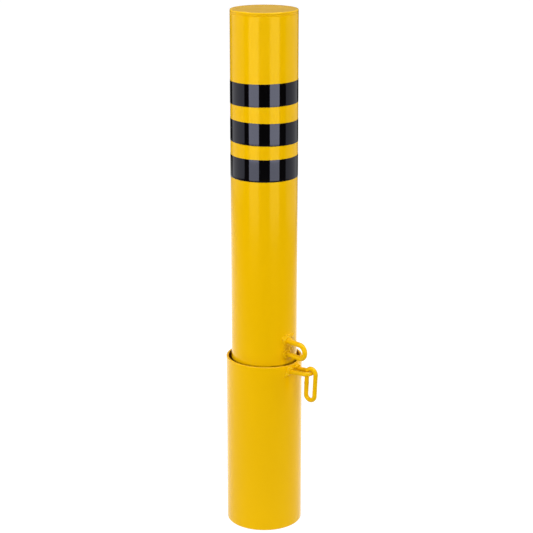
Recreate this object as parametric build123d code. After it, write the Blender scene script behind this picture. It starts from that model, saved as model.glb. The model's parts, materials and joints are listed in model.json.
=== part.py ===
from build123d import *
from math import cos, radians, sin
import os

# A traffic bollard that lifts out of a short ground sleeve and is held there by a padlock.
# Millimetres. The origin is the centre of the sleeve's underside, +Z is up along the post,
# and +X points from the axis to the lock staple welded on the sleeve.

# post: a steel tube closed by a plate at each end
overall_height = 914.4
post_diameter = 114.3
post_wall = 3.6
cap_thickness = 5.0
cap_edge_radius = 1.6
cap_weld_depth = 1.8
foot_plate_thickness = 6.0
foot_vent_diameter = 14.0
foot_weld_leg = 3.0

# black tape bands: distance from the post's top to the upper edge, width, tilt in degrees
tape_thickness = 0.3
tape_bands = {
    "stripe_upper": (116.5, 38.1, 0.9),
    "stripe_middle": (181.9, 38.1, -1.1),
    "stripe_lower": (243.1, 38.1, -0.2),
}
tape_tilt_bearing = -50.0

# ground sleeve: a tube with a drained plate welded into its foot
sleeve_diameter = 133.0
sleeve_wall = 4.0
sleeve_height = 308.5
sleeve_rim_round = 0.6
base_plate_thickness = 6.0
base_weld_leg = 4.0
drain_diameter = 12.0
drain_circle_radius = 16.0
drain_count = 4

# lugs inside the sleeve that hold the post upright
lug_clearance = 1.5
lug_width = 20.0
lug_height = 25.0
lug_count = 4
lug_first_bearing = 45.0
lower_lug_height_above_plate = 24.0
upper_lug_depth_below_rim = 70.0

# loose pad that the post stands and turns on
pad_thickness = 5.0
pad_edge_inset = 2.0
pad_bore = 50.0
pad_edge_round = 0.8
pad_groove_width = 8.0
pad_groove_depth = 2.0
pad_groove_count = 4
pad_groove_bearing = 45.0
resting_gap = 0.3

# lock loop: an upright rod hoop welded on the post, beside the staple's bearing
loop_bearing = -7.5
loop_rod = 9.0
loop_leg_spacing = 24.0
loop_reach = 102.5
loop_height_above_rim = 28.9
loop_weld_leg = 3.5

# lock staple: a rod hoop lying nearly level on the sleeve, which carries the link
staple_rod = 8.0
staple_leg_spacing = 20.0
staple_reach = 106.0
staple_depth_below_rim = 13.0
staple_rise_angle = 4.0
staple_weld_leg = 3.5

# lock link: one long chain link hanging on the staple
link_rod = 8.0
link_width_between_centres = 18.5
link_length_between_centres = 57.5
link_clearance = 0.3
link_lean = 2.8
link_weld_length = 5.0
link_weld_rise = 0.45

# worked out from the values above
post_radius = post_diameter / 2
post_bore_radius = post_radius - post_wall
sleeve_radius = sleeve_diameter / 2
sleeve_bore_radius = sleeve_radius - sleeve_wall
pad_bottom = base_plate_thickness + resting_gap
pad_top = pad_bottom + pad_thickness
post_bottom = pad_top + resting_gap
loop_height = sleeve_height + loop_height_above_rim
staple_height = sleeve_height - staple_depth_below_rim
staple_length = staple_reach - sleeve_radius
staple_tip_x = sleeve_radius + staple_length * cos(radians(staple_rise_angle))
staple_tip_z = staple_height + staple_length * sin(radians(staple_rise_angle))
weld_bite = 4.0
weld_lip = 0.2
cut_margin = 1.0


def disc(radius, bottom, top):
    return Pos(0, 0, (bottom + top) / 2) * Cylinder(radius, top - bottom)


def ring(outer, inner, bottom, top):
    return disc(outer, bottom, top) - disc(inner, bottom - cut_margin, top + cut_margin)


def around(count, first=0.0):
    return [Rot(0, 0, first + 360 * turn / count) for turn in range(count)]


def turned(points):
    # closed outline in radius and height, turned about the post's axis
    return revolve(Plane.XZ * make_face(Polyline(*points, close=True)), Axis.Z)


def swept_rod(path, diameter):
    start = Plane(origin=path @ 0, z_dir=path % 0)
    return sweep(start * Circle(diameter / 2), path=path)


def hoop_path(root, reach, spacing):
    # out along one leg, half a turn round the tip, and back along the other, in the XY plane
    half = spacing / 2
    tip = reach - half
    return (
        Line((root, -half), (tip, -half))
        + ThreePointArc((tip, -half), (reach, 0), (tip, half))
        + Line((tip, half), (root, half))
    )


def weld_collar(rod, leg, wall_radius, across):
    # a fillet bead that narrows outwards along a leg, fitted round the rod
    length = leg + weld_bite
    middle = Pos(wall_radius - weld_bite + length / 2, across, 0) * Rot(0, 90, 0)
    bead = Cone(rod / 2 + length + weld_lip, rod / 2 + weld_lip, length)
    return middle * (bead - Cylinder(rod / 2, 2 * length))


def make_post_tube():
    bottom = post_bottom + foot_plate_thickness
    top = overall_height - cap_thickness
    bore = post_bore_radius
    return turned([
        (bore, bottom),
        (post_radius - foot_weld_leg, bottom),
        (post_radius, bottom + foot_weld_leg),
        (post_radius, top - cap_weld_depth),
        (post_radius - cap_weld_depth, top),
        (bore, top),
    ])


def make_cap():
    bottom = overall_height - cap_thickness
    cap = turned([
        (0, bottom),
        (post_radius - cap_weld_depth, bottom),
        (post_radius, bottom + cap_weld_depth),
        (post_radius, overall_height),
        (0, overall_height),
    ])
    top_edge = cap.edges().group_by(Axis.Z)[-1]
    return fillet(top_edge, cap_edge_radius)


def make_cap_weld():
    seam = overall_height - cap_thickness
    return turned([
        (post_radius, seam - cap_weld_depth),
        (post_radius, seam + cap_weld_depth),
        (post_radius - cap_weld_depth, seam),
    ])


def make_foot_plate():
    top = post_bottom + foot_plate_thickness
    return ring(post_radius - foot_weld_leg, foot_vent_diameter / 2, post_bottom, top)


def make_foot_weld():
    seam = post_bottom + foot_plate_thickness
    return turned([
        (post_radius - foot_weld_leg, seam - foot_weld_leg),
        (post_radius - foot_weld_leg, seam),
        (post_radius, seam + foot_weld_leg),
    ])


def make_stripe(drop, width, tilt):
    outer = post_radius + tape_thickness
    middle = overall_height - drop - width / 2
    sleeve = ring(outer, post_radius, middle - width, middle + width)
    axis_turn = Rot(0, 0, tape_tilt_bearing)
    slab = Pos(0, 0, middle) * axis_turn * Rot(tilt, 0, 0) * Box(4 * outer, 4 * outer, width)
    return sleeve & slab


def loop_place():
    # stands the hoop on edge at its height and bearing
    return Rot(0, 0, loop_bearing) * Pos(0, 0, loop_height) * Rot(90, 0, 0)


def make_lock_loop():
    path = hoop_path(post_radius - weld_bite, loop_reach, loop_leg_spacing)
    hoop = loop_place() * swept_rod(path, loop_rod)
    return hoop - disc(post_radius, 0, overall_height)


def make_loop_weld(side):
    across = side * loop_leg_spacing / 2
    bead = loop_place() * weld_collar(loop_rod, loop_weld_leg, post_radius, across)
    return bead - disc(post_radius, 0, overall_height)


def make_sleeve_tube():
    tube = ring(sleeve_radius, sleeve_bore_radius, 0, sleeve_height)
    rim_edges = tube.edges().group_by(Axis.Z)[-1]
    return fillet(rim_edges, sleeve_rim_round)


def make_base_plate():
    plate = disc(sleeve_bore_radius, 0, base_plate_thickness)
    drain = Pos(drain_circle_radius, 0, 0) * disc(drain_diameter / 2, -cut_margin, pad_top)
    for turn in around(drain_count):
        plate -= turn * drain
    return plate


def make_base_weld():
    floor = base_plate_thickness
    return turned([
        (sleeve_bore_radius, floor),
        (sleeve_bore_radius, floor + base_weld_leg),
        (sleeve_bore_radius - base_weld_leg, floor),
    ])


def make_lugs(bottom):
    whole = ring(sleeve_bore_radius, post_radius + lug_clearance, bottom, bottom + lug_height)
    sector = Pos(sleeve_radius, 0, bottom + lug_height / 2)
    sector *= Box(sleeve_radius, lug_width, 2 * lug_height)
    lug = whole & sector
    return [turn * lug for turn in around(lug_count, lug_first_bearing)]


def staple_place():
    # the staple rises slightly from where it meets the sleeve
    root = Pos(sleeve_radius, 0, staple_height)
    return root * Rot(0, -staple_rise_angle, 0) * Pos(-sleeve_radius, 0, 0)


def make_staple():
    path = hoop_path(sleeve_radius - weld_bite, staple_reach, staple_leg_spacing)
    hoop = staple_place() * swept_rod(path, staple_rod)
    return hoop - disc(sleeve_radius, 0, sleeve_height)


def make_staple_weld(side):
    across = side * staple_leg_spacing / 2
    bead = staple_place() * weld_collar(staple_rod, staple_weld_leg, sleeve_radius, across)
    return bead - disc(sleeve_radius, 0, sleeve_height)


def link_place():
    # the top of the link's opening rests on the staple's tip, leaning towards the sleeve
    half_opening = (link_width_between_centres - link_rod) / 2
    sag = half_opening - staple_rod / 2 - link_clearance
    return Pos(staple_tip_x, 0, staple_tip_z) * Rot(0, link_lean, 0) * Pos(0, 0, -sag)


def make_link():
    half_width = link_width_between_centres / 2
    straight = link_length_between_centres - link_width_between_centres
    path = (
        Line((half_width, 0), (half_width, -straight))
        + ThreePointArc(
            (half_width, -straight), (0, -straight - half_width), (-half_width, -straight)
        )
        + Line((-half_width, -straight), (-half_width, 0))
        + ThreePointArc((-half_width, 0), (0, half_width), (half_width, 0))
    )
    return link_place() * Rot(90, 0, 0) * swept_rod(path, link_rod)


def make_link_weld():
    # the raised ring where the link's bar was butt welded, half way down its inner side
    middle = (link_width_between_centres - link_length_between_centres) / 2
    rise = link_rod / 2 + link_weld_rise
    half = link_weld_length / 2
    bead = turned([
        (link_rod / 2, -half),
        (rise, -half / 2),
        (rise, half / 2),
        (link_rod / 2, half),
    ])
    return link_place() * Pos(-link_width_between_centres / 2, 0, middle) * bead


def make_pad():
    pad = ring(post_radius - pad_edge_inset, pad_bore / 2, pad_bottom, pad_top)
    pad = fillet(pad.edges().group_by(Axis.Z)[-1], pad_edge_round)
    groove = Pos(post_radius / 2, 0, pad_bottom)
    groove *= Box(post_radius, pad_groove_width, 2 * pad_groove_depth)
    for turn in around(pad_groove_count, pad_groove_bearing):
        pad -= turn * groove
    return pad


def all_parts():
    plate_top = base_plate_thickness
    upper_lug_bottom = sleeve_height - upper_lug_depth_below_rim
    parts = {
        "post_tube": make_post_tube(),
        "post_top_cap": make_cap(),
        "post_cap_weld": make_cap_weld(),
        "post_foot_plate": make_foot_plate(),
        "post_foot_weld": make_foot_weld(),
        "lock_loop": make_lock_loop(),
        "lock_loop_weld_upper": make_loop_weld(1),
        "lock_loop_weld_lower": make_loop_weld(-1),
        "rest_pad": make_pad(),
        "sleeve_tube": make_sleeve_tube(),
        "sleeve_base_plate": make_base_plate(),
        "sleeve_base_weld": make_base_weld(),
        "centring_lugs_lower": make_lugs(plate_top + lower_lug_height_above_plate),
        "centring_lugs_upper": make_lugs(upper_lug_bottom),
        "lock_staple": make_staple(),
        "lock_staple_weld_left": make_staple_weld(-1),
        "lock_staple_weld_right": make_staple_weld(1),
        "lock_link": make_link(),
        "lock_link_weld": make_link_weld(),
    }
    for name, sizes in tape_bands.items():
        parts[name] = make_stripe(*sizes)
    return parts


os.makedirs("parts", exist_ok=True)
for name, shape in all_parts().items():
    solids = shape if isinstance(shape, list) else [shape]
    export_step(Compound(children=[Compound(s.solids()) for s in solids]), f"parts/{name}.step")
    print(name, round(sum(s.volume for s in solids), 1), "mm3")
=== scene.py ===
import json
import math
import bpy
import numpy as np
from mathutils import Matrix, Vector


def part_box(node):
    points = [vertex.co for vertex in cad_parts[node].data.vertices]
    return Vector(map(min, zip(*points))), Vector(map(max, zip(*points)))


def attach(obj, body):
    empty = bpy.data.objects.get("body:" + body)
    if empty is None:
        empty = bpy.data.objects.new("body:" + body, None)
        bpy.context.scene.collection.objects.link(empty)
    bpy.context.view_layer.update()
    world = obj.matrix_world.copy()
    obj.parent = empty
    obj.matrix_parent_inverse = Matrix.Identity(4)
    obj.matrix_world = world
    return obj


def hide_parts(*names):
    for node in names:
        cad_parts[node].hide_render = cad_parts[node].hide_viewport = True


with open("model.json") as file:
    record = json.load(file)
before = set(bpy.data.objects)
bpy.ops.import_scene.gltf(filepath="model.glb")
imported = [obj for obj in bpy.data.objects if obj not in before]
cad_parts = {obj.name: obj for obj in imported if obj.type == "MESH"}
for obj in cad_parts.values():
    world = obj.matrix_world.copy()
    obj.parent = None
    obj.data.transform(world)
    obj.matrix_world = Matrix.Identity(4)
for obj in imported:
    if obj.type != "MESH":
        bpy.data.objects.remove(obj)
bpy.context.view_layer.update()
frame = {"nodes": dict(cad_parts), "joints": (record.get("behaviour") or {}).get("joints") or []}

# lift-out bollard: yellow coated post and ground sleeve, black tape bands, hoop, staple and link
mm = 0.001
streetBearing = -50.0  # bearing of the side that faces the street, from +X, in degrees


def middleHeight(nodeName):
    low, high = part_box(nodeName)
    return (low[2] + high[2]) / 2


def partRadius(nodeName):
    low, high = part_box(nodeName)
    return (high[1] - low[1]) / 2


postRadius = partRadius("post_tube")
sleeveRadius = partRadius("sleeve_tube")
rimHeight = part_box("sleeve_tube")[1][2]


def gridMesh(name, grid, wrapRows=False, polesAt=None):
    # faces between neighbouring points of grid[row, column], or of grid[part, row, column] for several
    # parts in one mesh; columns always close up, and rows close up or end in a fan round a pole
    if grid.ndim == 3:
        grid = grid[None]
        polesAt = None if polesAt is None else np.asarray(polesAt, float)[None]
    parts, rows, columns = grid.shape[:3]
    number = np.arange(parts * rows * columns).reshape(parts, rows, columns)
    near = number if wrapRows else number[:, :-1]
    far = np.roll(number, -1, axis=1) if wrapRows else number[:, 1:]
    quads = np.stack([near, np.roll(near, -1, 2), np.roll(far, -1, 2), far], axis=-1).reshape(-1, 4)
    points = grid.reshape(-1, 3)
    fans = np.empty((0, 3), int)
    if polesAt is not None:
        first, last = number[:, 0], number[:, -1]
        pole = len(points) + 2 * np.arange(parts)[:, None] + np.zeros((1, columns), int)
        points = np.vstack([points, polesAt.reshape(-1, 3)])
        fans = np.concatenate([
            np.stack([pole, np.roll(first, -1, 1), first], axis=-1),
            np.stack([pole + 1, last, np.roll(last, -1, 1)], axis=-1),
        ]).reshape(-1, 3)
    # the solid's volume is the sum of corner . (side x side) / 6; a negative one means inside out
    triangles = np.vstack([quads[:, [0, 1, 2]], quads[:, [0, 2, 3]], fans])
    a, b, c = (points[triangles[:, k]] for k in range(3))
    if np.einsum("ij,ij->i", a, np.cross(b, c)).sum() < 0:
        quads, fans = quads[:, ::-1], fans[:, ::-1]
    mesh = bpy.data.meshes.new(name)
    mesh.from_pydata(points.tolist(), [], quads.tolist() + fans.tolist())
    mesh.polygons.foreach_set("use_smooth", np.ones(len(mesh.polygons), bool))
    mesh.update()
    piece = bpy.data.objects.new(name, mesh)
    bpy.context.collection.objects.link(piece)
    return piece


def wave(angle, seed, terms=6, falloff=1.0):
    # a smooth random curve round a circle, from -1 to 1: the mean of sin(k * angle + phase) for
    # k = 1, 2, 3 and so on, weighted by a random share of 1 / k^falloff
    dice = np.random.default_rng(seed)
    k = np.arange(1, terms + 1)
    phase = dice.uniform(0, 2 * np.pi, terms)
    weight = dice.uniform(0.4, 1, terms) / k**falloff
    total = (np.sin(k * angle[..., None] + phase) * weight).sum(-1)
    return total / weight.sum()


def lumpy(u, v, seed, terms=14, finest=6):
    # a smooth random pattern on a torus, mostly from -1 to 1: the sum of sin(k u + m v + phase) over
    # random whole numbers k and m, times 0.9 / sqrt(terms)
    dice = np.random.default_rng(seed)
    k = dice.integers(1, finest + 1, terms)
    m = dice.integers(-2, 3, terms)
    phase = dice.uniform(0, 2 * np.pi, terms)
    return np.sin(k * u[..., None] + m * v[..., None] + phase).sum(-1) / math.sqrt(terms) * 0.9


def arc(centre, radius, start, end, steps):
    # points on a circle: centre + radius * (cos, sin), angles in degrees
    angle = np.radians(np.linspace(start, end, steps))
    return np.array(centre) + radius * np.stack([np.cos(angle), np.sin(angle)], axis=-1)


def upright(radius, heights):
    # points (radius, height) up a straight wall
    return np.stack([np.full(len(heights), radius), heights], axis=-1)


def level(places, height):
    # points (place, height) along a level line
    return np.stack([places, np.full(len(places), height)], axis=-1)


def roundedWall(inner, outer, bottom, top, r, rows, steps=7):
    # closed outline (radius, height) of a tube's wall with its four corners rounded to r
    side = np.linspace(bottom + r, top - r, rows)[1:-1]
    return np.vstack([
        arc((outer - r, bottom + r), r, -90, 0, steps),
        upright(outer, side),
        arc((outer - r, top - r), r, 0, 90, steps),
        arc((inner + r, top - r), r, 90, 180, steps),
        upright(inner, side[::-1]),
        arc((inner + r, bottom + r), r, 180, 270, steps),
    ])


def turned(name, outline, segments=288, wrapRows=True, poles=None, sag=None):
    # surface of revolution: (r cos u, r sin u, z - sag) for each (r, z) of the outline and angle u
    angle = np.linspace(0, 2 * np.pi, segments, endpoint=False)
    drop = 0 * angle if sag is None else sag(outline, angle)
    height = outline[:, 1:] - drop
    grid = np.stack([outline[:, :1] * np.cos(angle), outline[:, :1] * np.sin(angle), height], axis=-1)
    return gridMesh(name, grid, wrapRows, poles)


def rodAlong(name, path, sideways, radius, closed=False, around=32):
    # round bar: path(s) + radius(s, a) * (cos a * normal(s) + sin a * sideways), s from 0 to 1, where
    # sideways is the fixed direction square to the plane that the path lies in
    if closed:
        tangent = np.roll(path, -1, 0) - np.roll(path, 1, 0)
    else:
        tangent = np.gradient(path, axis=0)
    tangent /= np.linalg.norm(tangent, axis=1, keepdims=True)
    normal = np.cross(sideways, tangent)
    angle = np.linspace(0, 2 * np.pi, around, endpoint=False)
    section = np.cos(angle)[None, :, None] * normal[:, None] + np.sin(angle)[None, :, None] * sideways
    grid = path[:, None] + radius(np.arange(len(path)) / len(path), angle)[..., None] * section
    return gridMesh(name, grid, closed, None if closed else path[[0, -1]])


def node(tree, kind, inputs=None, **settings):
    # a shader node whose inputs are set to numbers or linked to other nodes' outputs
    made = tree.nodes.new(kind)
    for key, value in settings.items():
        setattr(made, key, value)
    for key, value in (inputs or {}).items():
        if isinstance(value, bpy.types.NodeSocket):
            tree.links.new(value, made.inputs[key])
        else:
            made.inputs[key].default_value = value
    return made


def newGroup(name, inputs, outputs):
    tree = bpy.data.node_groups.new(name, "ShaderNodeTree")
    for label, value in inputs.items():
        socket = tree.interface.new_socket(label, in_out="INPUT", socket_type="NodeSocketFloat")
        socket.default_value = value
    for label in outputs:
        tree.interface.new_socket(label, in_out="OUTPUT", socket_type="NodeSocketFloat")
    return tree, tree.nodes.new("NodeGroupInput").outputs, tree.nodes.new("NodeGroupOutput").inputs


def calc(tree, operation, a, b, clamp=False):
    return node(tree, "ShaderNodeMath", {0: a, 1: b}, operation=operation, use_clamp=clamp).outputs[0]


def plus(tree, a, b, clamp=False):
    return calc(tree, "ADD", a, b, clamp)


def minus(tree, a, b):
    return calc(tree, "SUBTRACT", a, b)


def times(tree, a, b, clamp=False):
    return calc(tree, "MULTIPLY", a, b, clamp)


def ramp(tree, value, low, high):
    # 0 below low, 1 above high, smooth between
    made = node(tree, "ShaderNodeMapRange", {"Value": value, "From Min": low, "From Max": high})
    made.interpolation_type = "SMOOTHSTEP"
    return made.outputs["Result"]


def objectPlace(tree):
    return node(tree, "ShaderNodeTexCoord").outputs["Object"]


def vectorCalc(tree, operation, a, b, output="Value"):
    return node(tree, "ShaderNodeVectorMath", {0: a, 1: b}, operation=operation).outputs[output]


def heightOf(tree, vector):
    return node(tree, "ShaderNodeSeparateXYZ", {0: vector}).outputs["Z"]


def spotted(tree, place, perMetre, detail=2.0, rough=0.5):
    # noise from 0 to 1, with perMetre spots in each metre
    return node(tree, "ShaderNodeTexNoise", {
        "Vector": place, "Scale": perMetre, "Detail": detail, "Roughness": rough,
    }).outputs["Fac"]


def stretched(tree, place, factors):
    # a factor under 1 draws a pattern out along that axis
    return node(tree, "ShaderNodeMapping", {"Vector": place, "Scale": factors}).outputs["Vector"]


powder = dict(
    ripplePerMetre=38.0, rippleDepth=1.4, cloudPerMetre=7.0, cloudGloss=0.10, speckPerMetre=1600.0,
    speckGloss=0.05,
)


def makePowderGroup():
    # sprayed and baked powder. Height is peel * its depth + ripple * its depth, tone is 1 + (cloud -
    # 0.5) * spread, and roughness is the gloss + (cloud - 0.5) and (speck - 0.5) times their shares
    tree, given, out = newGroup("bakedPowder", {
        "Peel Per Metre": 420.0, "Peel Depth": 0.5, "Tone Spread": 0.05, "Gloss Roughness": 0.18,
    }, ["Tone", "Roughness", "Height"])
    place = objectPlace(tree)
    peel = spotted(tree, place, given["Peel Per Metre"], 2.5, 0.55)
    ripple = spotted(tree, place, powder["ripplePerMetre"], 1.0)
    cloud = minus(tree, spotted(tree, place, powder["cloudPerMetre"], 3.0), 0.5)
    speck = minus(tree, spotted(tree, place, powder["speckPerMetre"], 0.0), 0.5)
    lifted = times(tree, peel, given["Peel Depth"])
    rolled = times(tree, ripple, powder["rippleDepth"])
    tree.links.new(plus(tree, lifted, rolled), out["Height"])
    tree.links.new(plus(tree, times(tree, cloud, given["Tone Spread"]), 1.0), out["Tone"])
    cloudy = plus(tree, given["Gloss Roughness"], times(tree, cloud, powder["cloudGloss"]))
    grainy = times(tree, speck, powder["speckGloss"])
    tree.links.new(plus(tree, cloudy, grainy, clamp=True), out["Roughness"])
    return tree


def makeDustGroup():
    # a thin veil of dust on faces that look up: facing * (0.4 + 0.6 * patches) * amount, where facing
    # rises smoothly from 0 to 1 as the normal's upright part goes from 0.35 to 1
    tree, given, out = newGroup("settledDust", {"Amount": 0.2, "Patch Per Metre": 60.0}, ["Mask"])
    normal = node(tree, "ShaderNodeNewGeometry").outputs["Normal"]
    facing = ramp(tree, heightOf(tree, normal), 0.35, 1.0)
    spots = spotted(tree, objectPlace(tree), given["Patch Per Metre"], 4.0, 0.6)
    patches = ramp(tree, spots, 0.35, 0.7)
    veil = times(tree, facing, plus(tree, times(tree, patches, 0.6), 0.4))
    tree.links.new(times(tree, veil, given["Amount"], clamp=True), out["Mask"])
    return tree


def makeBandGroup():
    # 1 between two heights, falling smoothly to 0 over Fade Below and Fade Above outside them: the
    # smoothstep of 1 + the smaller of (z - low) / fade below and (high - z) / fade above
    tree, given, out = newGroup("heightBand", {
        "Low Height": 0.0, "High Height": 0.3, "Fade Below": 0.03, "Fade Above": 0.03,
    }, ["Mask"])
    height = heightOf(tree, objectPlace(tree))
    above = calc(tree, "DIVIDE", minus(tree, height, given["Low Height"]), given["Fade Below"])
    below = calc(tree, "DIVIDE", minus(tree, given["High Height"], height), given["Fade Above"])
    inside = calc(tree, "MINIMUM", above, below)
    tree.links.new(ramp(tree, plus(tree, inside, 1.0), 0.0, 1.0), out["Mask"])
    return tree


def makeRubGroup():
    # upright rub marks where one part slides past the other: streaks * patches * band * amount, the
    # streaks being fine noise drawn out fifty times upwards
    tree, given, out = newGroup("slideRub", {"Band": 1.0, "Amount": 0.5}, ["Mask"])
    place = objectPlace(tree)
    streaks = spotted(tree, stretched(tree, place, (1.0, 1.0, 0.02)), 520.0, 3.0, 0.6)
    patches = spotted(tree, place, 22.0, 2.0)
    lines = times(tree, ramp(tree, streaks, 0.56, 0.68), ramp(tree, patches, 0.48, 0.66))
    marks = times(tree, lines, given["Band"])
    tree.links.new(times(tree, marks, given["Amount"], clamp=True), out["Mask"])
    return tree


def makeShadeAndGrimeGroup():
    # painted shade in a band, and on walls that face the middle of the tube, darkening the gap between
    # post and sleeve; on the lifted post the band reads as a dirt ring. The mask is the larger of the two,
    # times 0.4 to 1.2 by noise drawn out downwards. A wall faces the middle where (x, y, 0) . normal <
    # -0.03
    tree, given, out = newGroup("gapShadeAndGrime", {"Band": 0.0, "Band Amount": 0.5, "Inner Amount": 0.0}, ["Mask"])
    place = objectPlace(tree)
    fromAxis = vectorCalc(tree, "MULTIPLY", place, (1, 1, 0), "Vector")
    normal = node(tree, "ShaderNodeNewGeometry").outputs["Normal"]
    outwards = vectorCalc(tree, "DOT_PRODUCT", fromAxis, normal)
    inner = times(tree, calc(tree, "LESS_THAN", outwards, -0.03), given["Inner Amount"])
    banded = times(tree, given["Band"], given["Band Amount"])
    streaks = spotted(tree, stretched(tree, place, (1.0, 1.0, 0.35)), 95.0, 4.0, 0.6)
    runs = plus(tree, times(tree, ramp(tree, streaks, 0.36, 0.64), 0.8), 0.4)
    gapShadeAndDirt = times(tree, calc(tree, "MAXIMUM", inner, banded), runs, clamp=True)
    tree.links.new(gapShadeAndDirt, out["Mask"])
    return tree


def makePaintedShadowGroup():
    # painted shadow that the hoop's legs cast on the post round the hoop's root: (1 - smoothstep of the
    # distance from the middle, from 0.3 of the reach to the reach) * (0.5 + blotches) * amount
    tree, given, out = newGroup("paintedHoopShadow", {
        "Middle X": 0.0, "Middle Y": 0.0, "Middle Z": 0.0, "Reach": 0.02, "Amount": 0.5,
    }, ["Mask"])
    place = objectPlace(tree)
    corner = {0: given["Middle X"], 1: given["Middle Y"], 2: given["Middle Z"]}
    middle = node(tree, "ShaderNodeCombineXYZ", corner).outputs[0]
    away = vectorCalc(tree, "DISTANCE", place, middle)
    core = times(tree, given["Reach"], 0.3)
    near = minus(tree, 1.0, ramp(tree, away, core, given["Reach"]))
    blotches = plus(tree, spotted(tree, place, 260.0, 3.0, 0.6), 0.5)
    shadowNearHoop = times(tree, near, blotches)
    tree.links.new(times(tree, shadowNearHoop, given["Amount"], clamp=True), out["Mask"])
    return tree


powderGroup = makePowderGroup()
dustGroup = makeDustGroup()
bandGroup = makeBandGroup()
rubGroup = makeRubGroup()
shadeAndGrimeGroup = makeShadeAndGrimeGroup()
paintedShadowGroup = makePaintedShadowGroup()
print("shader groups ready")


def groupNode(tree, group, **values):
    # the group's inputs are given with _ for each space in their names
    inputs = {label.replace("_", " "): value for label, value in values.items()}
    return node(tree, "ShaderNodeGroup", inputs, node_tree=group).outputs


def blendColour(tree, mask, below, above, mode="MIX"):
    # inputs 6 and 7 and output 2 are the Mix node's colour sockets
    made = node(tree, "ShaderNodeMix", {0: mask, 6: below, 7: above}, data_type="RGBA", blend_type=mode)
    return made.outputs[2]


def newMaterial(name):
    made = bpy.data.materials.new(name)
    made.use_nodes = True
    tree = made.node_tree
    return made, tree, tree.nodes["Principled BSDF"]


def linkShader(tree, shader, colour, roughness, height, bump, depth):
    # depth is how far the bump rises, in metres, where the height is 1
    tree.links.new(colour, shader.inputs["Base Color"])
    tree.links.new(roughness, shader.inputs["Roughness"])
    bumped = node(tree, "ShaderNodeBump", {"Height": height, "Strength": bump, "Distance": depth})
    tree.links.new(bumped.outputs["Normal"], shader.inputs["Normal"])


# yellow powder coat, one dictionary for each of its three places. A band is its lowest and highest
# height and its fade below and above. The painted shadow that the hoop's legs cast on the post is
# centred at a radius, a bearing in degrees and a height
postCoat = dict(
    name="post coat", colour=(0.86, 0.49, 0.0, 1), spec=0.23, tint=(1.0, 0.95, 0.24, 1),
    peel=430.0, depth=0.5, tone=0.05, rough=0.14, dust=0.08, bump=0.35, bumpDepth=0.12 * mm,
    rubBand=(20 * mm, 295 * mm, 30 * mm, 30 * mm), rub=0.55,
    # painted shade: a dark band just under the rim darkens the gap between post and sleeve, and shows as a
    # streaky dirt ring when the post is lifted
    gapShadeAndGrimeBand=(rimHeight - 6 * mm, rimHeight - 2.5 * mm, 35 * mm, 2 * mm), gapShadeAndGrime=0.5, innerPaintedShade=0.0,
    # painted shadow of the hoop's legs on the post round the hoop's root
    paintedShadowAt=(postRadius, 2.0, rimHeight + 16 * mm), paintedShadowReach=25 * mm, paintedShadow=0.6,
)
# the sleeve takes painted shade on its inner walls, darkening the gap at the rim
sleeveCoat = dict(
    postCoat, name="sleeve coat", colour=(0.87, 0.495, 0.0, 1), rub=0.0, gapShadeAndGrime=0.0, innerPaintedShade=0.8,
    paintedShadow=0.0,
)
# the hardware takes a weaker painted shadow on the legs and weld beads near the hoop's root
hardwareCoat = dict(
    postCoat, name="hardware coat", colour=(0.84, 0.485, 0.0, 1), peel=700.0, depth=0.35,
    rough=0.12, tone=0.08, rub=0.0, gapShadeAndGrime=0.0, paintedShadow=0.25, dust=0.03,
)
bareSteel = (0.20, 0.19, 0.18, 1)
# painted shade colour for the gap at the rim, seen as a dirt ring on the lifted post
gapShadeAndGrimeColour = (0.085, 0.024, 0.004, 1)
# painted shadow colour under and between the hoop's legs
paintedShadowColour = (0.28, 0.11, 0.002, 1)
dustColour = (0.62, 0.56, 0.45, 1)


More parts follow.
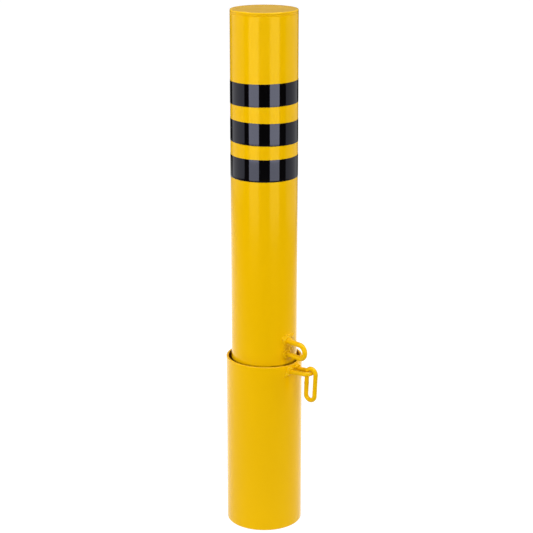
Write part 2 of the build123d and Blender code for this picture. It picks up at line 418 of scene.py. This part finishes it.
def makeCoat(finish):
    # colour is base * tone, then the painted shadow round the hoop's root, steel in the rub marks,
    # painted shade in the gap at the rim (a dirt ring on the lifted post), and dust on top; roughness is
    # the powder's + 0.3 * the larger of rub and the gap shade + 0.5 * dust
    made, tree, shader = newMaterial(finish["name"])
    coat = groupNode(tree, powderGroup, Peel_Per_Metre=finish["peel"], Peel_Depth=finish["depth"],
                     Tone_Spread=finish["tone"], Gloss_Roughness=finish["rough"])
    bands = {}
    for use in ("rubBand", "gapShadeAndGrimeBand"):
        low, high, below, above = finish[use]
        bands[use] = groupNode(tree, bandGroup, Low_Height=low, High_Height=high,
                               Fade_Below=below, Fade_Above=above)["Mask"]
    rub = groupNode(tree, rubGroup, Band=bands["rubBand"], Amount=finish["rub"])["Mask"]
    # painted shade in the gap at the rim, on the post's band and the sleeve's inner walls
    gapShadeAndGrime = groupNode(tree, shadeAndGrimeGroup, Band=bands["gapShadeAndGrimeBand"], Band_Amount=finish["gapShadeAndGrime"],
                      Inner_Amount=finish["innerPaintedShade"])["Mask"]
    # painted shadow cast by the hoop's legs round the hoop's root
    out, degrees, height = finish["paintedShadowAt"]
    bearing = math.radians(degrees)
    paintedShadow = groupNode(tree, paintedShadowGroup, Middle_X=out * math.cos(bearing), Middle_Y=out * math.sin(bearing),
                      Middle_Z=height, Reach=finish["paintedShadowReach"], Amount=finish["paintedShadow"])["Mask"]
    dust = groupNode(tree, dustGroup, Amount=finish["dust"])["Mask"]
    tone = node(tree, "ShaderNodeCombineColor", dict.fromkeys(range(3), coat["Tone"])).outputs[0]
    toned = blendColour(tree, 1.0, finish["colour"], tone, "MULTIPLY")
    withPaintedShadow = blendColour(tree, paintedShadow, toned, paintedShadowColour)
    rubbed = blendColour(tree, rub, withPaintedShadow, bareSteel)
    withGapShade = blendColour(tree, gapShadeAndGrime, rubbed, gapShadeAndGrimeColour)
    dusty = blendColour(tree, dust, withGapShade, dustColour)
    rougher = plus(tree, coat["Roughness"], times(tree, calc(tree, "MAXIMUM", rub, gapShadeAndGrime), 0.3))
    matte = plus(tree, rougher, times(tree, dust, 0.5), clamp=True)
    linkShader(tree, shader, dusty, matte, coat["Height"], finish["bump"], finish["bumpDepth"])
    shader.inputs["Specular IOR Level"].default_value = finish["spec"]
    shader.inputs["Specular Tint"].default_value = finish["tint"]
    return made


film = dict(
    name="black tape", colour=(0.0016, 0.0011, 0.0012, 1), scratchColour=(0.018, 0.018, 0.021, 1),
    tint=(0.74, 0.77, 1.0, 1), rough=0.05, scratched=0.35, dust=0.25, dustPerMetre=180.0,
    bump=0.3, bumpDepth=0.2 * mm,
)


def makeTapeFilm():
    # gloss vinyl pulled on by hand: height is ripples + 0.03 * grain, and roughness is the film's +
    # 0.05 * (grain - 0.5) + 0.15 * scratches, with hairline scratches round the post and dust on top
    made, tree, shader = newMaterial(film["name"])
    place = objectPlace(tree)
    ripples = spotted(tree, stretched(tree, place, (1.0, 1.0, 0.35)), 24.0, 1.0)
    grain = spotted(tree, place, 900.0, 1.0)
    hair = spotted(tree, stretched(tree, place, (0.06, 0.06, 1.0)), 2600.0, 2.0, 0.7)
    scratches = ramp(tree, hair, 0.66, 0.72)
    dust = groupNode(tree, dustGroup, Amount=film["dust"], Patch_Per_Metre=film["dustPerMetre"])["Mask"]
    shown = times(tree, scratches, film["scratched"])
    worn = blendColour(tree, shown, film["colour"], film["scratchColour"])
    dusty = blendColour(tree, dust, worn, dustColour)
    uneven = plus(tree, times(tree, minus(tree, grain, 0.5), 0.05), film["rough"])
    rough = plus(tree, uneven, times(tree, scratches, 0.15))
    height = plus(tree, ripples, times(tree, grain, 0.03))
    linkShader(tree, shader, dusty, rough, height, film["bump"], film["bumpDepth"])
    shader.inputs["Specular Tint"].default_value = film["tint"]
    return made


nylon = dict(
    name="pad nylon", dark=(0.014, 0.014, 0.016, 1), light=(0.03, 0.03, 0.033, 1), rough=0.42,
    dust=0.35, dustPerMetre=90.0, bump=0.3, bumpDepth=0.08 * mm,
)


def makePadNylon():
    # moulded nylon: fine grain for the bump, a mottled black, roughness + 0.2 * the mottling, and dust
    made, tree, shader = newMaterial(nylon["name"])
    place = objectPlace(tree)
    grain = spotted(tree, place, 1500.0, 2.0)
    cloud = spotted(tree, place, 30.0, 3.0)
    dust = groupNode(tree, dustGroup, Amount=nylon["dust"], Patch_Per_Metre=nylon["dustPerMetre"])["Mask"]
    mottled = blendColour(tree, ramp(tree, cloud, 0.3, 0.7), nylon["dark"], nylon["light"])
    dusty = blendColour(tree, dust, mottled, dustColour)
    rough = plus(tree, times(tree, cloud, 0.2), nylon["rough"])
    linkShader(tree, shader, dusty, rough, grain, nylon["bump"], nylon["bumpDepth"])
    return made


postPaint = makeCoat(postCoat)
sleevePaint = makeCoat(sleeveCoat)
hardwarePaint = makeCoat(hardwareCoat)
tapeFilm = makeTapeFilm()
padNylon = makePadNylon()
print("materials ready")


def finishPiece(piece, body, nodes, material):
    piece.data.materials.append(material)
    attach(piece, body)
    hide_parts(*nodes)


# the tube's rows start lowGap above its foot chamfer and end highGap below its top one, and capPole is
# the radius of the fan in the middle of the cap
post = dict(
    wall=3.6 * mm, footChamfer=3.0 * mm, topChamfer=1.8 * mm, lowGap=2.0 * mm, highGap=1.2 * mm, rows=60,
    capRound=1.6 * mm, capDish=0.25 * mm, capPole=1.0 * mm,
)
# inset is from the tube's surface to the middle of the bead, size is half the bead's thickness, and
# proud is how much of the size comes and goes with each ripple
capSeam = dict(inset=1.38 * mm, size=1.42 * mm, squash=1.0, ripples=150, proud=0.04, seed=3)
footSeam = dict(inset=2.55 * mm, size=2.1 * mm, squash=1.15, ripples=110, proud=0.12, seed=8)


def buildPostTube():
    # turned from its wall's outline, chamfered at the foot and where the cap is welded on
    low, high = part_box("post_tube")
    foot, top = post["footChamfer"], post["topChamfer"]
    bore = postRadius - post["wall"]
    side = np.linspace(low[2] + foot + post["lowGap"], high[2] - top - post["highGap"], post["rows"])
    outline = np.vstack([
        [(bore, low[2]), (postRadius - foot, low[2]), (postRadius, low[2] + foot)],
        upright(postRadius, side),
        [(postRadius, high[2] - top), (postRadius - top, high[2]), (bore, high[2])],
        upright(bore, side[::-1]),
    ])
    finishPiece(turned("postTube", outline), "post", ["post_tube"], postPaint)


def buildCap():
    # disc with a rounded upper edge, whose face sinks towards the middle by dish * (1 - (r / R)^2)
    low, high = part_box("post_top_cap")
    r, chamfer = post["capRound"], post["topChamfer"]
    across = np.linspace(postRadius - r, post["capPole"], 26)[1:]
    dish = post["capDish"] * (1 - (across / (postRadius - r)) ** 2)
    under = np.linspace(post["capPole"], postRadius - chamfer, 12)
    outline = np.vstack([
        level(under, low[2]),
        [(postRadius, low[2] + chamfer)],
        arc((postRadius - r, high[2] - r), r, 0, 90, 10),
        np.stack([across, high[2] - dish], axis=-1),
    ])
    poles = [(0, 0, low[2]), (0, 0, high[2] - post["capDish"])]
    plate = turned("capPlate", outline, wrapRows=False, poles=poles)
    finishPiece(plate, "post", ["post_top_cap"], postPaint)


def ringBead(name, radius, height, look, segments=576, around=20):
    # weld bead round the axis: an oval section of half thickness size * (1 + proud * ripple + half of
    # proud * wave(u)), where ripple is |sin(ripples * u / 2)|^0.7 - 0.5, and its height wanders
    angle = np.linspace(0, 2 * np.pi, segments, endpoint=False)
    turn = np.linspace(0, 2 * np.pi, around, endpoint=False)[:, None]
    size, proud, seed = look["size"], look["proud"], look["seed"]
    ripple = np.abs(np.sin(look["ripples"] * angle / 2)) ** 0.7 - 0.5
    thick = size * (1 + proud * ripple + 0.5 * proud * wave(angle, seed, 9, 0.5))
    r = radius + thick * np.cos(turn)
    wander = 0.15 * size * wave(angle, seed + 1, 7, 0.6)
    z = height + thick * look["squash"] * np.sin(turn) + wander
    grid = np.stack([r * np.cos(angle), r * np.sin(angle), z], axis=-1)
    return gridMesh(name, grid, True)


def buildPostWelds():
    for name, nodeName, look in (
        ("capSeam", "post_cap_weld", capSeam),
        ("footSeam", "post_foot_weld", footSeam),
    ):
        bead = ringBead(name, postRadius - look["inset"], middleHeight(nodeName), look)
        finishPiece(bead, "post", [nodeName], postPaint)


# lap and lapBearing are in degrees and lapEase in radians. The film is pressed to a share of its
# thickness, its edges stand gap off the paint, the middle of its inner face is crown deeper, and its
# end rises by lapLift thicknesses over lapEase
tape = dict(
    thickness=0.30 * mm, pressed=0.9, edgeRound=0.12 * mm, trim=0.02 * mm, crown=0.15 * mm,
    gap=0.01 * mm, wobble=0.10 * mm, lap=16.0, lapBearing=118.0, lapLift=0.85, lapEase=0.03, rows=420,
)


def buildTapeBand(name, nodeName, tilt, seed, lapTurn):
    # a strip wound once round with its end lapped over its start: radius steps up by a smoothstep
    # across the lap, and height leans with the side of the post as tan(tilt) * distance across
    low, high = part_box(nodeName)
    t, e = tape["thickness"], tape["edgeRound"]
    lean = math.tan(math.radians(tilt))
    width = (high[2] - low[2]) - 2 * (postRadius + t) * abs(lean)
    half = width / 2 - tape["trim"]
    start = math.radians(tape["lapBearing"] + lapTurn)
    turn = np.linspace(0, 2 * np.pi + math.radians(tape["lap"]), tape["rows"])[:, None]
    section = np.vstack([
        arc((t - e, half - e), e, 0, 90, 5),
        [(0.0, half), (-tape["crown"], 0.0), (0.0, -half)],
        arc((t - e, -half + e), e, -90, 0, 5),
        upright(t, np.linspace(-half + e, half - e, 11)[1:-1]),
    ])
    out, up = section[:, 0], section[:, 1]
    step = np.clip((turn - 2 * np.pi + tape["lapEase"]) / tape["lapEase"], 0, 1)
    lift = tape["lapLift"] * t * step * step * (3 - 2 * step)
    wobble = tape["wobble"] * wave(turn[:, 0], seed, 5)[:, None] * np.sign(up)
    radius = postRadius + tape["gap"] + out * tape["pressed"] + lift
    bearing = start + turn
    across = postRadius * np.cos(math.radians(streetBearing + 90) - bearing)
    height = middleHeight(nodeName) + up + wobble * (np.abs(up) > half / 2) + lean * across
    grid = np.stack([radius * np.cos(bearing), radius * np.sin(bearing), height], axis=-1)
    strip = gridMesh(name, grid, False, grid[[0, -1]].mean(axis=1))
    finishPiece(strip, "post", [nodeName], tapeFilm)


buildPostTube()
buildCap()
buildPostWelds()
buildTapeBand("tapeUpper", "stripe_upper", 0.9, 21, 0.0)
buildTapeBand("tapeMiddle", "stripe_middle", -1.1, 22, 9.0)
buildTapeBand("tapeLower", "stripe_lower", -0.2, 23, -6.0)
print("post, cap, seams and tape bands built")


# the rim was pulled down a little where the staple was welded on: each dip is its bearing in degrees,
# its depth and its half width in degrees, and it fades out over dipFade below the rim
sleeve = dict(
    wall=4.0 * mm, rimRound=0.9 * mm, rows=40, dipFade=60 * mm,
    dips=[(2.0, 1.7 * mm, 22.0), (-25.0, 1.1 * mm, 35.0)],
)
sleeveSeam = dict(inset=1.3 * mm, size=2.2 * mm, squash=1.0, ripples=120, proud=0.12, seed=14)


def rimSag(outline, angle):
    # each dip lowers the wall by depth * exp(-((bearing - middle) / width)^2) * (height above the
    # fade's start / fade)^3
    fade = sleeve["dipFade"]
    near = np.clip((outline[:, 1:] - (rimHeight - fade)) / fade, 0, 1) ** 3
    total = 0
    for middle, depth, width in sleeve["dips"]:
        apart = np.angle(np.exp(1j * (angle - math.radians(middle))))
        total = total + depth * np.exp(-(apart / math.radians(width)) ** 2)
    return near * total


def buildSleeve():
    low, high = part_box("sleeve_tube")
    bore = sleeveRadius - sleeve["wall"]
    outline = roundedWall(bore, sleeveRadius, low[2], high[2], sleeve["rimRound"], sleeve["rows"])
    tube = turned("sleeveTube", outline, sag=rimSag)
    finishPiece(tube, "sleeve", ["sleeve_tube"], sleevePaint)
    inset = sleeveSeam["inset"]
    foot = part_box("sleeve_base_weld")[0][2]
    bead = ringBead("sleeveFootSeam", bore - inset, foot + inset, sleeveSeam)
    finishPiece(bead, "sleeve", ["sleeve_base_weld"], sleevePaint)


buildSleeve()
print("sleeve built")


# wall is the radius that the legs are welded to, wallCurves names the direction that goes round it,
# sunk is how far the legs run into it, and bearing, rise and lean are in degrees. The link's butt weld
# swells by buttSwell over the share buttLength of the way round
lockLoop = dict(
    name="lockLoop", node="lock_loop", body="post", wall=postRadius, wallCurves="aside", seed=31,
    rod=9.0 * mm, spacing=24.0 * mm, reach=102.5 * mm, sunk=2.0 * mm, bearing=-7.5,
)
lockStaple = dict(
    name="lockStaple", node="lock_staple", body="sleeve", wall=sleeveRadius, wallCurves="across", seed=35,
    rod=8.0 * mm, spacing=20.0 * mm, reach=106.0 * mm, sunk=2.5 * mm, rise=4.0, drop=13.0 * mm,
)
lockLink = dict(
    rod=8.0 * mm, width=18.5 * mm, length=57.5 * mm, lean=2.8, slack=0.3 * mm, buttSwell=0.40 * mm,
    buttLength=0.012,
)

# hand-laid weld: lumps are (angle round the leg, wider, higher, spread), angles in degrees from the
# first direction and lengths in mm; drops are (across, aside, radius) in mm
handWeld = dict(reach=3.4 * mm, climb=3.4 * mm, uneven=0.35, ripples=13, proud=0.05, rough=0.10)
upperLoopWeld = dict(
    handWeld, seed=41,
    lumps=[(0, 2.2, 2.5, 45), (75, 2.5, 1.0, 25), (-70, 2.5, 1.5, 35)],
    drops=[(16.5, 6.5, 4.2), (19.5, 1.0, 3.4), (17.5, -6.0, 5.0), (19.0, -10.5, 3.6), (17.0, -15.0, 4.8),
           (18.5, -19.5, 3.4), (14.0, -19.0, 3.0), (22.5, 4.5, 1.3), (3.5, -4.5, 2.4), (4.5, 1.5, 1.8)],
)
lowerLoopWeld = dict(
    handWeld, seed=47,
    lumps=[(150, 1.2, 1.0, 40), (-40, 1.8, 1.6, 30)],
    drops=[(-4.5, -6.0, 3.2), (-2.0, -10.5, 2.8), (-5.0, 5.8, 2.2), (-19.5, -5.5, 2.2), (-20.0, 4.5, 1.5),
           (-7.0, -14.5, 2.4)],
)
leftStapleWeld = dict(
    handWeld, seed=53,
    lumps=[(215, 2.6, 1.2, 28), (90, 0.8, 2.0, 40)],
    drops=[(-18.0, -5.0, 3.6), (-19.0, 2.5, 1.5), (-22.0, -9.0, 1.2), (-12.0, -9.0, 1.4)],
)
rightStapleWeld = dict(
    handWeld, seed=59,
    lumps=[(80, 1.0, 4.5, 50), (10, 1.5, 1.0, 30)],
    drops=[(19.0, 2.5, 1.7), (20.5, -4.0, 1.4), (1.0, 3.0, 1.6)],
)


def hoopPath(root, reach, spacing, legSteps=26, bendSteps=40):
    # (along, across): out along a leg, half a turn of radius spacing / 2, and back
    half = spacing / 2
    tip = reach - half
    out = np.linspace(root, tip, legSteps)[:-1]
    return np.vstack([
        level(out, -half),
        arc((tip, 0), half, -90, 90, bendSteps),
        level(out[::-1], half),
    ])


def loopPlace(along, across, aside=0.0):
    # the hoop stands on edge: across is up, and along and aside are turned level to its bearing
    b = math.radians(lockLoop["bearing"])
    x = along * math.cos(b) + aside * math.sin(b)
    y = along * math.sin(b) - aside * math.cos(b)
    return np.stack(np.broadcast_arrays(x, y, middleHeight("lock_loop") + across), axis=-1)


def staplePlace(along, across, above=0.0):
    # the staple lies nearly level: along is out from the axis, turned up by its rise at the sleeve
    rise = math.radians(lockStaple["rise"])
    out = along - sleeveRadius
    x = sleeveRadius + out * math.cos(rise) - above * math.sin(rise)
    z = rimHeight - lockStaple["drop"] + out * math.sin(rise) + above * math.cos(rise)
    return np.stack(np.broadcast_arrays(x, across, z), axis=-1)


def hammered(diameter, seed, amount=0.012):
    # bar radius d / 2 * (1 - amount * (1 - 0.6 * wave(length) - 0.4 * wave(angle))), for a hand-formed
    # bar under a coat that is a little thicker in places
    def radius(s, angle):
        lengthwise = wave(2 * np.pi * s, seed, 9, 0.6)[:, None]
        around = wave(angle, seed + 1, 3)[None, :]
        return diameter / 2 * (1 - amount + amount * 0.6 * lengthwise + amount * 0.4 * around)
    return radius


def collarBead(name, place, side, hoop, weld, around=300, steps=28):
    # weld bead where a round leg meets the round wall. At angle a round the leg it reaches w out along
    # the wall and climbs h up the leg, each varying by wave(a) and by size * exp(-((a - angle) /
    # spread)^2) for each lump. Its section is rod / 2 + w * (0.32 + 0.68 cos v) out and h * (0.10 +
    # 0.80 sin v) up, rippled and roughened, from the wall at sqrt(R^2 - sideways^2)
    a = np.linspace(0, 2 * np.pi, around, endpoint=False)[None, :]
    v = np.linspace(0, 2 * np.pi, steps, endpoint=False)[:, None]
    wall, seed = hoop["wall"], weld["seed"]
    reach = weld["reach"] * (1 + weld["uneven"] * wave(a[0], seed, 5, 0.7))
    climb = weld["climb"] * (1 + weld["uneven"] * wave(a[0], seed + 1, 5, 0.7))
    for angle, wider, higher, spread in weld["lumps"]:
        apart = np.angle(np.exp(1j * (a[0] - math.radians(angle))))
        swell = np.exp(-(apart / math.radians(spread)) ** 2)
        reach = reach + wider * mm * swell
        climb = climb + higher * mm * swell
    ripple = weld["proud"] * (np.abs(np.sin(weld["ripples"] / 2 * a)) ** 0.6 - 0.5)
    skin = 1 + ripple + weld["rough"] * lumpy(a, v, seed + 2)
    outward = hoop["rod"] / 2 + reach * (0.32 + 0.68 * skin * np.cos(v))
    across = side * hoop["spacing"] / 2 + outward * np.cos(a)
    aside = outward * np.sin(a)
    curved = across if hoop["wallCurves"] == "across" else aside
    surface = np.sqrt(wall**2 - np.clip(curved, -wall / 2, wall / 2) ** 2)
    along = surface + climb * (0.10 + 0.80 * skin * np.sin(v))
    return gridMesh(name, place(along, across, aside), True)


def withSpatter(bead, place, hoop, weld, rows=9, columns=16):
    # drops of weld metal on the wall round the bead, joined to it: each a ball flattened to (0.45 r, r,
    # r), at (across, aside) with radius r, and dented by a pattern that its place shifts
    across, aside, size = (np.array(weld["drops"])[:, k, None, None] * mm for k in range(3))
    up = np.radians(np.linspace(-80, 80, rows))[None, :, None]
    turn = np.linspace(0, 2 * np.pi, columns, endpoint=False)[None, None, :]
    dents = lumpy(turn + across * 900, up + aside * 700, weld["seed"], finest=3)
    r = size * (1 + 0.12 * dents)
    first = across + r * np.cos(up) * np.cos(turn)
    second = aside + r * np.cos(up) * np.sin(turn)
    curved, middle = (first, across) if hoop["wallCurves"] == "across" else (second, aside)
    along = np.sqrt(hoop["wall"] ** 2 - curved**2) + 0.45 * r * np.sin(up)
    ends = np.sqrt(hoop["wall"] ** 2 - middle**2) + np.array([-0.5, 0.5])[None, :, None] * size
    poles = place(ends[..., 0], across[..., 0], aside[..., 0])
    extra = gridMesh("spatter", place(along, first, second), False, poles)
    with bpy.context.temp_override(active_object=bead, selected_editable_objects=[bead, extra]):
        bpy.ops.object.join()


def buildHoop(hoop, place, square, beads):
    # square is the direction at right angles to the hoop's plane
    path = hoopPath(hoop["wall"] - hoop["sunk"], hoop["reach"], hoop["spacing"])
    thick = hammered(hoop["rod"], hoop["seed"])
    bar = rodAlong(hoop["name"], place(path[:, 0], path[:, 1]), square, thick)
    finishPiece(bar, hoop["body"], [hoop["node"]], hardwarePaint)
    for name, nodeName, side, weld in beads:
        bead = collarBead(name, place, side, hoop, weld)
        withSpatter(bead, place, hoop, weld)
        finishPiece(bead, hoop["body"], [nodeName], hardwarePaint)


def buildLoop():
    b = math.radians(lockLoop["bearing"])
    buildHoop(lockLoop, loopPlace, np.array([-math.sin(b), math.cos(b), 0.0]), (
        ("loopWeldUpper", "lock_loop_weld_upper", 1, upperLoopWeld),
        ("loopWeldLower", "lock_loop_weld_lower", -1, lowerLoopWeld),
    ))


def buildStaple():
    rise = math.radians(lockStaple["rise"])
    buildHoop(lockStaple, staplePlace, np.array([-math.sin(rise), 0.0, math.cos(rise)]), (
        ("stapleWeldLeft", "lock_staple_weld_left", -1, leftStapleWeld),
        ("stapleWeldRight", "lock_staple_weld_right", 1, rightStapleWeld),
    ))


def buildLink(steps=40):
    # closed oval of two straights and two half turns, hung from the staple's tip and leaning inwards;
    # the bar's radius gains swell * exp(-((s - butt weld) / length)^2) half way down the inner straight
    pivot = next(j for j in frame["joints"] if j["name"] == "link_swing")["pos_m"]
    half = lockLink["width"] / 2
    straight = lockLink["length"] - lockLink["width"]
    hang = half - (lockLink["rod"] + lockStaple["rod"]) / 2 - lockLink["slack"]
    side = np.linspace(0, -straight, steps)[1:-1]
    oval = np.vstack([
        upright(half, side),
        arc((0, -straight), half, 0, -180, steps),
        upright(-half, side[::-1]),
        arc((0, 0), half, 180, 0, steps),
    ])
    lean = math.radians(lockLink["lean"])
    out, up = oval[:, 0], oval[:, 1] - hang
    path = np.stack([
        pivot[0] + out * math.cos(lean) + up * math.sin(lean),
        np.full(len(out), pivot[1]),
        pivot[2] - out * math.sin(lean) + up * math.cos(lean),
    ], axis=-1)
    weldAt = (len(side) + steps + len(side) / 2) / len(oval)
    plain = hammered(lockLink["rod"], 37, 0.010)

    def radius(s, angle):
        swelling = np.exp(-((s - weldAt) / lockLink["buttLength"]) ** 2)[:, None]
        return plain(s, angle) + lockLink["buttSwell"] * swelling * (1 + 0.3 * wave(angle, 38, 4)[None, :])

    bar = rodAlong("lockLink", path, np.array([0.0, 1.0, 0.0]), radius, closed=True)
    finishPiece(bar, "lock_link", ["lock_link", "lock_link_weld"], hardwarePaint)


buildLoop()
buildStaple()
buildLink()
print("hoop, staple, link and weld beads built")


# the pad, plates and lugs keep their shape and get their finish
for nodeName, paint in (
    ("post_foot_plate", postPaint),
    ("sleeve_base_plate", sleevePaint),
    ("centring_lugs_lower", sleevePaint),
    ("centring_lugs_upper", sleevePaint),
    ("rest_pad", padNylon),
):
    for slotOfNode in frame["nodes"][nodeName].material_slots:
        slotOfNode.material = paint
print("inner parts finished")


# angles are to the right of the street side and spread is half a panel's width, in degrees; shine is
# the radiance that glossy paint mirrors, fill the radiance that lights it
studio = dict(
    floorSize=60.0, floorColour=(0.12, 0.12, 0.12, 1), floorRough=0.8, seenGlow=1.0,
    poolAngle=203.0, poolBehind=1.0, poolNear=0.55, poolFar=2.3, poolShine=1.25, poolFill=0.55,
    roomShine=0.17, roomShade=0.01, roomFill=0.10, roomEdge=(-0.05, 0.12), lampGap=0.02,
)
leftSide = dict(angle=-34.7, spread=17.3, distance=1.75, fill=1.85)
rightSide = dict(angle=35.4, spread=16.6, distance=1.75, fill=2.05)
panels = [
    dict(leftSide, name="leftBox", low=0.28, high=1.5, shine=4.1),
    dict(leftSide, name="leftFoot", low=0.08, high=0.28, shine=2.95),
    dict(rightSide, name="rightBox", low=0.28, high=1.5, shine=4.25),
    dict(rightSide, name="rightFoot", low=0.08, high=0.28, shine=3.1),
    dict(name="leftCard", angle=-101.5, spread=32.5, distance=1.6, low=0.2, high=1.4, shine=0.85, fill=2.1),
    dict(name="rightCard", angle=111.0, spread=34.0, distance=1.6, low=0.1, high=1.3, shine=0.6, fill=2.6),
    dict(name="frontFill", angle=-8.0, spread=22.0, distance=2.4, low=0.1, high=1.2, shine=0.0, fill=2.15),
    dict(name="highKey", angle=-20.0, spread=9.0, distance=1.7, low=1.0, high=1.6, shine=0.0, fill=1.2),
]
overhead = dict(height=2.6, width=2.2, shine=5.0, fill=3.05)


def fromStreet(angle, distance, height):
    # a point at this angle to the right of the street side, as seen by someone standing there
    bearing = math.radians(streetBearing + angle)
    return distance * math.cos(bearing), distance * math.sin(bearing), height


def areaLight(name, place, turn, width, height, radiance, shines, tilt=math.pi / 2):
    # a flat panel of even radiance L gives off pi * L * width * height watts
    lamp = bpy.data.lights.new(name, "AREA")
    lamp.shape = "RECTANGLE"
    lamp.size, lamp.size_y = width, height
    lamp.energy = math.pi * radiance * width * height
    panel = bpy.data.objects.new(name, lamp)
    panel.location = place
    panel.rotation_euler = (tilt, 0, turn)
    panel.visible_camera = False
    panel.visible_diffuse = not shines
    panel.visible_glossy = shines
    bpy.context.collection.objects.link(panel)


def buildLights():
    # each panel is a fill lamp with a shine lamp close behind it
    for use, behind in (("fill", 0.0), ("shine", studio["lampGap"])):
        shines = use == "shine"
        for panel in panels:
            if panel[use] == 0:
                continue
            width = 2 * panel["distance"] * math.tan(math.radians(panel["spread"]))
            middle = (panel["low"] + panel["high"]) / 2
            place = fromStreet(panel["angle"], panel["distance"] + behind, middle)
            turn = math.radians(streetBearing + panel["angle"] + 90)
            tall = panel["high"] - panel["low"]
            areaLight(panel["name"] + use, place, turn, width, tall, panel[use], shines)
        place = (0, 0, overhead["height"] + behind)
        turn = math.radians(streetBearing + 90)
        width = overhead["width"]
        areaLight("overhead" + use, place, turn, width, width, overhead[use], shines, tilt=0)


def buildWorld():
    # the room: white where it is seen, even fill, and pale above and dark below in reflections
    world = bpy.data.worlds.new("paleRoom")
    bpy.context.scene.world = world
    world.use_nodes = True
    tree = world.node_tree
    rays = node(tree, "ShaderNodeLightPath").outputs
    look = node(tree, "ShaderNodeTexCoord").outputs["Generated"]
    above = ramp(tree, heightOf(tree, look), *studio["roomEdge"])
    pale = times(tree, above, studio["roomShine"] - studio["roomShade"])
    mirrored = times(tree, rays["Is Glossy Ray"], plus(tree, pale, studio["roomShade"]))
    fill = times(tree, rays["Is Diffuse Ray"], studio["roomFill"])
    strength = plus(tree, rays["Is Camera Ray"], plus(tree, fill, mirrored))
    tree.links.new(strength, tree.nodes["Background"].inputs["Strength"])
    tree.nodes["Background"].inputs["Color"].default_value = (1, 1, 1, 1)


def buildFloor():
    # a pale floor with a pool of light behind the object, full to poolNear and gone at poolFar
    half = studio["floorSize"] / 2
    corners = [(-half, -half, 0), (half, -half, 0), (half, half, 0), (-half, half, 0)]
    mesh = bpy.data.meshes.new("floor")
    mesh.from_pydata(corners, [], [(0, 1, 2, 3)])
    floor = bpy.data.objects.new("floor", mesh)
    bpy.context.collection.objects.link(floor)
    made, tree, shader = newMaterial("pale floor")
    shader.inputs["Base Color"].default_value = studio["floorColour"]
    shader.inputs["Roughness"].default_value = studio["floorRough"]
    shader.inputs["Specular IOR Level"].default_value = 0.0
    shader.inputs["Emission Color"].default_value = (1, 1, 1, 1)
    rays = node(tree, "ShaderNodeLightPath").outputs
    middle = fromStreet(studio["poolAngle"], studio["poolBehind"], 0)
    away = vectorCalc(tree, "DISTANCE", objectPlace(tree), middle)
    pool = minus(tree, 1.0, ramp(tree, away, studio["poolNear"], studio["poolFar"]))
    shine = times(tree, rays["Is Glossy Ray"], times(tree, pool, studio["poolShine"]))
    fill = times(tree, rays["Is Diffuse Ray"], times(tree, pool, studio["poolFill"]))
    seen = times(tree, rays["Is Camera Ray"], studio["seenGlow"])
    glow = plus(tree, plus(tree, shine, fill), seen)
    tree.links.new(glow, shader.inputs["Emission Strength"])
    mesh.materials.append(made)


# distance and height in metres, down and aside in degrees, lens and sensor in mm
view = dict(distance=2.5232, height=1.2245, down=16.64, aside=0.089, lens=102.62, sensor=36.0)


def buildCamera():
    lens = bpy.data.cameras.new("camera")
    lens.lens = view["lens"]
    lens.sensor_width = view["sensor"]
    camera = bpy.data.objects.new("camera", lens)
    camera.location = fromStreet(0, view["distance"], view["height"])
    heading = math.radians(streetBearing + 90 - view["aside"])
    camera.rotation_euler = (math.radians(90 - view["down"]), 0, heading)
    bpy.context.collection.objects.link(camera)
    bpy.context.scene.camera = camera
    bpy.context.scene.view_settings.view_transform = "Standard"


buildLights()
buildWorld()
buildFloor()
buildCamera()
print("studio ready")
